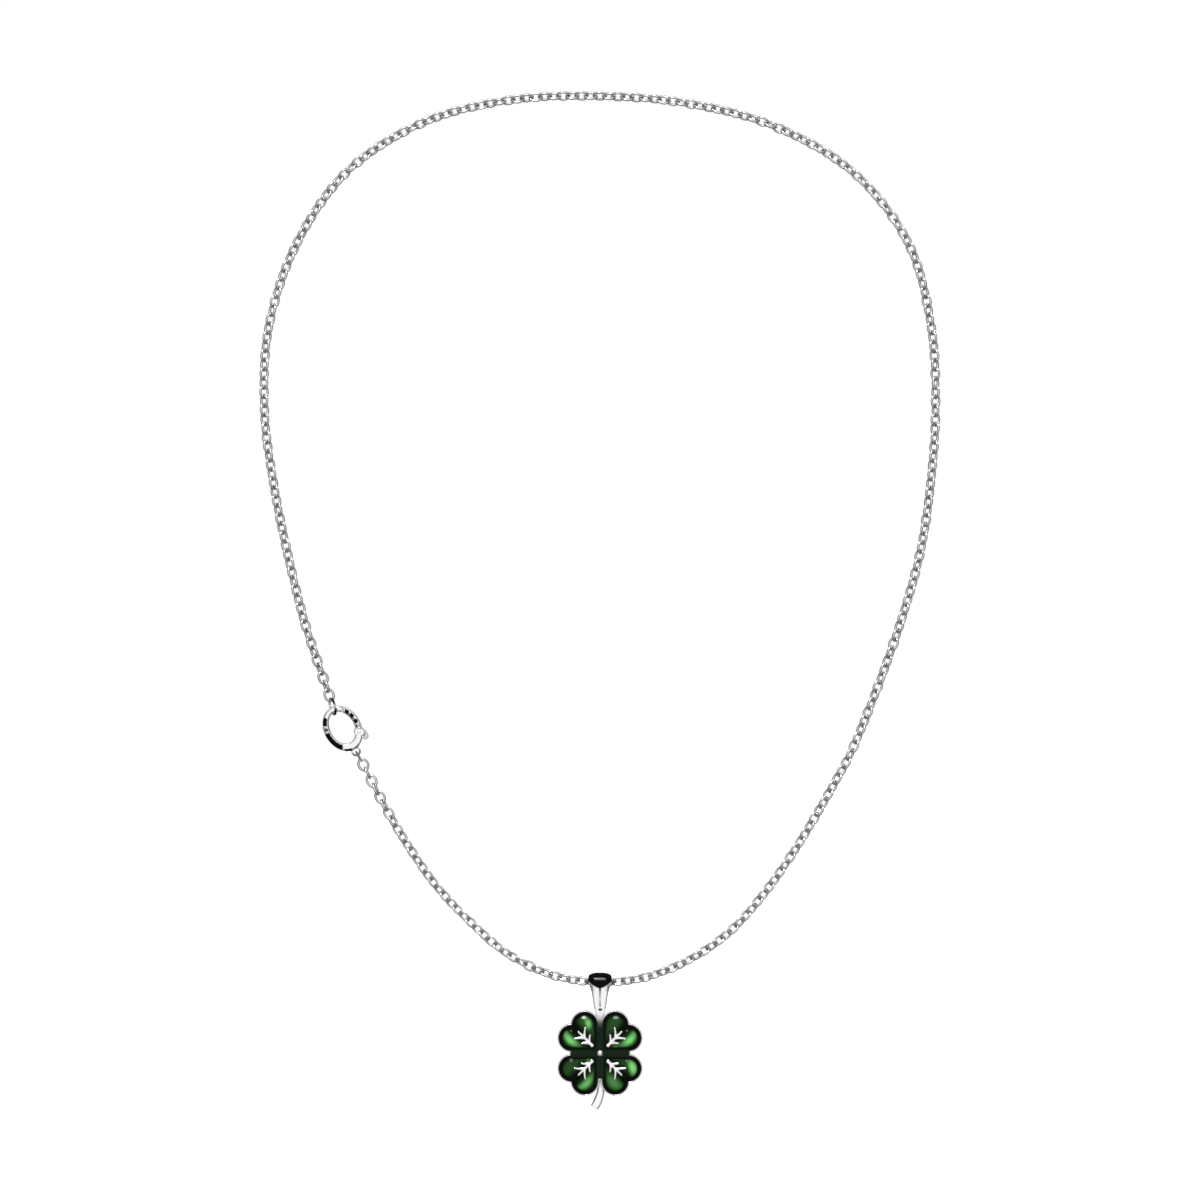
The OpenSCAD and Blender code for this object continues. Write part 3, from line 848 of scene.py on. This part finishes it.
def edge_distance(points, loops):
    """Distance of each point from the nearest edge of the loops."""
    best = np.full(len(points), 1e9)
    for loop in loops:
        way = np.roll(loop, -1, 0) - loop
        size = (way**2).sum(1)
        off = points[:, None] - loop[None]
        t = np.clip((off * way).sum(2) / size, 0, 1)
        best = np.minimum(best, np.linalg.norm(off - t[:, :, None] * way, axis=2).min(1))
    return best


def enamel(outer, holes, step, bottom, height):
    """Points and faces of a fired pool of enamel inside outer and round the holes.
    height gives its top from the flat points and their distance from the edge."""
    loops = [finer(loop, step) for loop in [outer, *holes]]
    low, high = outer.min(0), outer.max(0)
    rows = np.arange(low[1], high[1], step * 0.866)
    grid = np.array([
        (x + (i % 2) * step / 2, y)
        for i, y in enumerate(rows) for x in np.arange(low[0], high[0], step)
    ])
    grid = grid[in_pool(grid, loops)]
    grid = grid[edge_distance(grid, loops) > 0.5 * step]
    flat, edges, start = [], [], 0
    for loop in loops:
        flat += loop.tolist()
        edges += [(start + i, start + (i + 1) % len(loop)) for i in range(len(loop))]
        start += len(loop)
    flat, _, faces, *_ = delaunay_2d_cdt(flat + grid.tolist(), edges, [], 0, 1e-6)
    flat = np.array([tuple(p) for p in flat])
    faces = np.array(faces)
    faces = faces[in_pool(flat[faces].mean(1), loops)]
    used = np.unique(faces)
    renumber = np.zeros(len(flat), int)
    renumber[used] = np.arange(len(used))
    flat, faces = flat[used], renumber[faces]
    away = edge_distance(flat, loops)
    top = np.column_stack([flat, height(flat, away)])
    below = np.column_stack([flat, np.full(len(flat), bottom)])
    sides = np.concatenate([faces[:, [0, 1]], faces[:, [1, 2]], faces[:, [2, 0]]])
    once = {}
    for a, b in sides.tolist():
        side = (min(a, b), max(a, b))
        once[side] = None if side in once else (a, b)
    n = len(flat)
    walls = [(b, a, a + n, b + n) for a, b in (edge for edge in once.values() if edge)]
    roof = [tuple(face) for face in faces.tolist()]
    ground = [tuple(n + i for i in face[::-1]) for face in roof]
    return np.concatenate([top, below]), roof + ground + walls


def border_height(flat, away):
    return border_low + (border_high - border_low) * (1 - np.exp(-((away / 0.2) ** 2)))


bead_hole = spokes_round(bead_sides) * (bead_r - fused)
leaf_cells = [on_leaf(leaf_outline(-border_wide - set_gap - fused), k) for k in range(4)]
black_points, black_faces = enamel(
    clover_outline(silver_in + fused, web_cell + fused), [*leaf_cells, bead_hole],
    0.12, floor_h + set_gap, border_height,
)
# Painted sheen: the enamel over the middle cross is coloured a little lighter than at the border.
cross = 1 - soft_step(np.abs(black_points[:, :2]).min(1), 0.45, 0.95)
black_glass = Finish("black_enamel", {"IOR": 1.5, "Specular IOR Level": 0.035})
black_haze, black_dust = black_glass.grain(260, 2), black_glass.grain(2400, 3)
black_sheen = black_glass.attribute("cross") * (0.6 + black_haze * 0.8)
black_enamel = black_glass.feed({
    "Base Color": black_sheen.mix((0.0008, 0.0015, 0.0008, 1), (0.0055, 0.0125, 0.006, 1)),
    "Roughness": black_dust.ramp(0.4, 0.9) * 0.1 + 0.07,
    "Normal": black_glass.bump(black_haze, 1.5e-5),
})
border = piece(
    "black_border", in_pendant(black_points), black_faces, black_enamel, sharp=50, cross=cross
)
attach(border, "pendant")
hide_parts("rim_enamel")

# Green enamel. Each leaf is a thick drop of clear green enamel that domes over its two
# lobes. Its colour holds painted light: painted shade darkens the fold and the edges, a
# painted glow lights soft bowed lenses in the domes, and a painted highlight makes a pale
# spot at the top of the two upper leaves.
crown_r, crown_u, crown_low = 4.0, 6.05, -2.7
field_h, field_edge = 0.86, 0.72
shade_green, deep_green, half_glow_green, glow_green = (
    (0.0008, 0.0035, 0.0007, 1), (0.01, 0.036, 0.008, 1), (0.072, 0.225, 0.062, 1),
    (0.13, 0.46, 0.125, 1),
)
lens_bow = 0.1
crescent, wide_lens = (6.15, 2.35, 2.9, 1.1, 0), (6.1, 2.2, 2.9, 1.6, 0)
leaf_lights = {
    "upper_right": [(-1, 1, crescent), (1, 0.12, wide_lens), (-1, 0.4, (3.6, 1.2, 1.5, 0.8, 25))],
    "upper_left": [(1, 0.95, crescent), (-1, 0.9, (5.9, 2.6, 1.7, 0.95, 28)), (-1, 0.2, wide_lens)],
    "lower_left": [(1, 0.74, crescent), (-1, 0.1, wide_lens), (-1, 0.5, (2.7, 0.4, 1.3, 0.9, 0))],
    "lower_right": [(1, 1.1, (6.6, 2.65, 2.2, 1.15, -28)), (-1, 0.44, wide_lens)],
}
# Painted highlight: a pale spot near the top of each upper leaf, fainter on the right one.
shine_spot = (7.36, 2.8, 0.62, 0.42, -45)
leaf_shines = {"upper_right": [(1, 0.45, shine_spot)], "upper_left": [(-1, 1, shine_spot)]}


def leaf_height(flat, away):
    """Two low domes over the lobes, melted into the flat field and rounded down at the edge."""
    hills = [np.full(len(flat), field_h)]
    for side in (-1, 1):
        apart = np.hypot(flat[:, 0] - crown_u, flat[:, 1] - side * lobe_v)
        hills.append(crown_low + np.sqrt(np.maximum(crown_r**2 - apart**2, 0.1)))
    melted = np.log(sum(np.exp(18 * hill) for hill in hills)) / 18
    return field_edge + (melted - field_edge) * (1 - np.exp(-away / 0.34))


def leaf_glow(flat, lights):
    """Painted light over a leaf: how bright its enamel is painted, in soft bowed lenses.
    A light is its side of the leaf, its strength, and its place, half sizes and tilt."""
    u, v = flat.T
    away = edge_distance(flat, [finer(leaf_outline(-border_wide), 0.3)])
    glow = np.zeros(len(flat))
    for side, strength, (at_u, at_v, long, wide, tilt) in lights:
        c, s = math.cos(math.radians(tilt)), math.sin(math.radians(tilt))
        along = (u - at_u) * c + (side * v - at_v) * s
        off = (side * v - at_v) * c - (u - at_u) * s + lens_bow * along**2
        faded = soft_step(np.hypot(along / long, off / wide), 0.1, 1.15)
        glow = np.maximum(glow, strength * (1 - faded))
    return glow * soft_step(away, 0.0, 0.4)


green_glass = Finish("green_enamel", {"IOR": 1.52, "Specular IOR Level": 0.045})
# The depth mark is painted shade, darkest in the fold and at the edges.
glow, depth, shine = (green_glass.attribute(name) for name in ("glow", "depth", "shine"))
green_haze, green_dust = green_glass.grain(330, 3), green_glass.grain(2600, 3)
lit = glow * (0.85 + green_haze * 0.3)
fold_shaded_green = (depth * (0.75 + green_haze * 0.5)).mix(shade_green, deep_green)
inner_green = lit.ramp(0.0, 0.75).mix(fold_shaded_green, half_glow_green)
lit_green = lit.ramp(0.55, 1.12).mix(inner_green, glow_green)
green_enamel = green_glass.feed({
    "Base Color": shine.mix(lit_green, (0.52, 0.66, 0.52, 1)),
    "Roughness": green_dust.ramp(0.4, 0.9) * 0.08 + 0.05,
    "Normal": green_glass.bump(green_haze, 1.5e-5),
})
leaf_shape = leaf_outline(-border_wide - set_gap)
leaf_points, leaf_faces = enamel(leaf_shape, [], 0.13, floor_h + set_gap, leaf_height)
# Painted shade: darkest along the leaf's fold and at its edges.
leaf_fold_shade = soft_step(np.abs(leaf_points[:, 1]), 0.4, 2.2) * soft_step(
    edge_distance(leaf_points[:, :2], [finer(leaf_shape, 0.3)]), 0.0, 0.5
)
for k, (where, lights) in enumerate(leaf_lights.items()):
    leaf = piece(
        f"green_leaf_{where}", in_pendant(on_leaf(leaf_points, k)), leaf_faces,
        green_enamel, sharp=60, glow=leaf_glow(leaf_points[:, :2], lights), depth=leaf_fold_shade,
        shine=leaf_glow(leaf_points[:, :2], leaf_shines.get(where, [])),
    )
    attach(leaf, "pendant")
    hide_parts(f"leaf_enamel_{where}")

# Stem and neck. The curved stem below the clover and the small wedge above it that carries
# the bail, both cast with the cup. The wedge has a dark dimple under the bail's groove.
stem_rows = [
    (0, -5.2, 0.56), (0.02, -6.2, 0.86), (0.1, -7, 1.3), (0.12, -7.8, 1.56),
    (-0.15, -8.9, 1.72), (-0.6, -10, 1.78), (-1.25, -11.1, 1.8),
]
stem_back, stem_thick = -1.05, 1.5
neck_rows = [(0, 5.2, 0.6), (0, 6.2, 0.8), (0, 7.2, 1.4), (0, 8.8, 2.2), (0, 9.5, 2.0)]
neck_back, neck_front = -1.0, 0.55
neck_rise = [(7.4, 0), (7.9, 0.05), (8.4, 0.13), (8.8, 0.19), (9.1, 0.21)]
dimple_x, dimple_y, dimple_deep = 0.05, 8.72, 0.05


def tapered_bar(rows, low, high, corner, blunt, crown, across):
    """Rings of a soft-edged bar through rows of x, y and width, its front gently crowned."""
    line = smooth_line(np.array(rows, float), 20)
    line = paced_line(line, paced(steps(line[:, :2]).sum(), 0.08, blunt))
    ahead = np.gradient(line[:, :2], axis=0)
    ahead /= np.linalg.norm(ahead, axis=1, keepdims=True)
    side = np.stack([-ahead[:, 1], ahead[:, 0]], 1)
    rings = soft_bar(
        line[:, :2], side, line[:, 2], high - low, (high + low) / 2, corner, blunt, across=across
    )
    off = ((rings[..., :2] - line[:, None, :2]) * side[:, None]).sum(2) / (line[:, None, 2] / 2)
    rings[..., 2] -= crown * off**2 * (rings[..., 2] > (high + low) / 2)
    return rings


stem_rings = tapered_bar(stem_rows, stem_back, stem_back + stem_thick, 0.25, 0.12, 0.25, 20)
stem_off = np.linalg.norm(stem_rings[..., :2] - stem_rings[..., :2].mean(1, keepdims=True), axis=2)
stem_edge = soft_step(stem_off / stem_off.max(1, keepdims=True), 0.56, 0.8).reshape(-1)
stem_left = (stem_rings[..., 0] < stem_rings[..., 0].mean(1, keepdims=True)).reshape(-1)
stem_points, stem_faces = loft(stem_rings)
down = -stem_points[:, 1]
# Painted shade: dark lines down both edges of the stem's front, and a darker top below the clover.
left_line = np.interp(down, [6.5, 7.4, 7.9, 9.4, 9.8, 10.6], [0.5, 0.78, 0.93, 0.92, 0.7, 0.4])
right_line = np.interp(down, [6.5, 7.3, 7.8, 8.4, 9.0, 9.4], [0.5, 0.85, 0.93, 0.7, 0.5, 0.7])
stem_top = np.interp(down, [5.3, 6.0, 7.0], [0.65, 0.35, 0])
stem_edge_shade = stem_edge * np.where(stem_left, left_line, right_line)
stem_shade = np.maximum(stem_edge_shade, stem_top) * (stem_points[:, 2] > -0.4)
neck_rings = tapered_bar(neck_rows, neck_back, neck_front, 0.15, 0.1, 0.12, 40)
neck_points, neck_faces = loft(neck_rings)
x, y, front = neck_points[:, 0], neck_points[:, 1], neck_points[:, 2] > 0
dimple = front * (1 - soft_step(np.hypot((x - dimple_x) / 1.5, y - dimple_y), 0.2, 0.4))
neck_points[:, 2] += front * np.interp(y, *np.transpose(neck_rise)) - dimple_deep * dimple
# Painted shade on the neck's front, darkest where it leaves the clover.
neck_shade = np.interp(y, [5.2, 5.8, 6.4, 6.9, 7.4, 8, 8.4], [1, 0.95, 0.8, 0.55, 0.35, 0.15, 0.05])
neck_dimple_and_shade = np.maximum(0.95 * dimple, front * neck_shade)
stem = piece("stem", in_pendant(stem_points), stem_faces, cast_silver, patina=stem_shade)
neck = piece("neck", in_pendant(neck_points), neck_faces, cast_silver, patina=neck_dimple_and_shade)
for part in (stem, neck):
    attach(part, "pendant")
    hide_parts("clover_frame")

# Bail. A cast silver strap bent over the chain, closed below into one leg and soldered to
# the neck. Its barrel is coloured near-black down to a point, where a groove runs on down
# the leg. A lighter strip across that black is a painted highlight.
bail_up = 14.2
bail_rows = [
    (2.1, 1.35), (1.66, 2.0), (1.16, 2.3), (0.56, 2.37), (-0.24, 2.25), (-0.84, 2.05),
    (-1.64, 1.75), (-3.24, 1.43), (-5.04, 1.2), (-5.8, 0.85),
]
outer_r, leg_r, leg_drop = 1.9, 0.75, 5.0
eye_r, eye_tip_r, eye_drop = 1.3, 0.3, 3.0
strap_corner, strap_crown = 0.24, 0.38
groove_wide, groove_deep = 0.28, 0.12
sheen_y, sheen_half, sheen_share = 0.72, 1.25, 0.13
black_edge = [(0, -1.3), (0.28, -1.15), (0.89, -0.9), (1.7, -0.39), (2.16, 0.02), (2.4, 0.3)]


def teardrop(top_r, foot_r, drop):
    """A loop round a large circle at the chain and a small one below: front and up."""
    lean = math.asin((top_r - foot_r) / drop)
    over = np.linspace(-lean, math.pi + lean, 72)
    under = np.linspace(math.pi + lean, 2 * math.pi - lean, 26)
    top = np.stack([np.cos(over), np.sin(over)], 1) * top_r
    foot = np.stack([np.cos(under), np.sin(under)], 1) * foot_r - (0, drop)
    t = np.linspace(0, 1, 50)[1:-1, None]
    back_side = top[-1] + (foot[0] - top[-1]) * t
    front_side = foot[-1] + (top[0] - foot[-1]) * t
    return np.concatenate([top, back_side, foot, front_side])


heights, half_widths = np.array(bail_rows[::-1]).T
hole, skin = teardrop(eye_r, eye_tip_r, eye_drop), teardrop(outer_r, leg_r, leg_drop)
unit_bar = soft_bar(
    np.array([[0, 0], [1, 0], [2, 0]]), np.array([[0, 1]] * 3), 2, 2, 0, 1e-4, 1e-6,
    across=60, side=5,
)[1]
across, through = unit_bar[:, 1], unit_bar[:, 2]
strap = []
for a, b in zip(hole, skin):
    thick = np.linalg.norm(b - a)
    way = (b - a) / thick
    corner = min(strap_corner, 0.3 * thick)
    level = (a + b) / 2 + way * (through * (thick / 2))[:, None]
    reach = np.interp(level[:, 1], heights, half_widths)
    edge = np.clip((np.abs(across) - 1) * reach / corner + 1, 0, 1)
    lift = thick / 2 - corner * (1 - np.sqrt(1 - edge**2))
    crown = strap_crown * across**4 * np.clip(through, 0, 1) * np.interp(b[1], [-3, 0], [0.4, 1])
    level = (a + b) / 2 + way * (through * lift - crown)[:, None]
    half = np.interp(level[:, 1], heights, half_widths)
    strap.append(np.stack([across * half, level[:, 1], level[:, 0]], 1))
strap = np.stack(strap)
down = soft_step(strap[..., 1], -5.3, -4.7) * (1 - soft_step(strap[..., 1], -1.0, -0.7))
groove = soft_step(groove_wide - np.abs(strap[..., 0]), 0, groove_wide) * down
leg_lean = math.asin((outer_r - leg_r) / leg_drop)
outer_side = np.broadcast_to(through > 0.5, strap.shape[:2]) & (strap[..., 2] > 0.4)
shallow = np.interp(strap[..., 1], [-5.3, -4.4, -3.6, -2.6, -1.2], [0.8, 0.55, 0.4, 0.6, 1.0])
strap[..., 2] -= groove_deep * shallow * groove * outer_side / math.cos(leg_lean)
strap_points, strap_faces = loft(strap, closed=True)
x, y = np.abs(strap_points[:, 0]), strap_points[:, 1]
bail_patina = soft_step(y - np.interp(x, *np.transpose(black_edge)), -0.18, 0.14)
line_fade = np.interp(y, [-5.2, -4.7, -4.2, -3.5, -2.7, -2.1, -1.6, -1.2], [
    0.8, 0.45, 0.2, 0.03, 0.18, 0.55, 0.95, 1.0,
])
in_groove = (groove * outer_side).reshape(-1)
bail_patina = np.maximum(bail_patina, soft_step(in_groove, 0.1, 0.8) * line_fade)
# Painted highlight: a lighter strip across the front of the barrel.
painted_sheen = 1 - soft_step(np.abs(y - sheen_y), 0.08, 0.3)
painted_sheen *= 1 - soft_step(x, sheen_half - 0.3, sheen_half)
bail_patina *= 1 - sheen_share * painted_sheen * outer_side.reshape(-1)
strap_points[:, 1] += bail_up
bail = piece(
    "bail", in_pendant(strap_points), strap_faces, cast_silver, sharp=50, patina=bail_patina
)
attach(bail, "pendant")
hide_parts("clover_frame")

# Studio. A plain pale floor well below the hanging necklace, a grey room with a white card
# in front and a greyer one behind, which draw the silver's edges, and two soft round lamps.
floor_z, floor_half = -0.26, 6.0
floor = set_in_scene("floor", skin_of("floor", [
    (x * floor_half, y * floor_half, floor_z) for x, y in ((-1, -1), (1, -1), (1, 1), (-1, 1))
], [(0, 1, 2, 3)]))
floor_paint = Finish("floor_paint", {
    "Base Color": (0.9, 0.9, 0.9, 1), "Roughness": 0.8, "Emission Color": (1, 1, 1, 1),
    "Emission Strength": 0.62,
})
floor.data.materials.append(floor_paint.material)
floor.visible_glossy = False

room = bpy.data.worlds.new("room")
bpy.context.scene.world = room
room.use_nodes = True
room_tree = room.node_tree
way = Tone(room_tree, room_tree.nodes.new("ShaderNodeTexCoord").outputs["Generated"])
toward, height = (way.node("ShaderNodeSeparateXYZ", {}, {0: way}, axis) for axis in "YZ")
front_card, back_card = (0 - toward).ramp(0.68, 0.88), toward.ramp(0.86, 0.96)
walls = (1 - front_card - back_card) * (height.ramp(0.2, 0.9) * 0.5 + 0.22)
room_lit = front_card * 1.04 + back_card * 0.78 + walls
seen = way.node("ShaderNodeLightPath", {}, {}, "Is Camera Ray")
shade = seen.mix(room_lit, (1, 1, 1, 1))
room_tree.links.new(shade.socket, room_tree.nodes["Background"].inputs["Color"])

for name, place, wide, watts, mirrored in (
    ("key", (-0.25, -1.35, 1.45), 0.56, 22, True),
    ("fill", (1.2, -1.7, 0.5), 0.9, 6, False),
):
    lamp = bpy.data.lights.new(name, "AREA")
    lamp.shape, lamp.size, lamp.energy = "DISK", wide, watts
    light = set_in_scene(name, lamp)
    light.location = place
    light.visible_glossy = mirrored
    aim = -light.location
    aim.z += clover_z * mm
    light.rotation_euler = aim.to_track_quat("-Z", "Y").to_euler()

lens = bpy.data.cameras.new("camera")
lens.lens, lens.sensor_width = 180, 36
camera = set_in_scene("camera", lens)
camera.location = (0, -1.2, -0.1008)
camera.rotation_euler = (math.pi / 2, 0, 0)
bpy.context.scene.camera = camera
bpy.context.scene.view_settings.view_transform = "Standard"
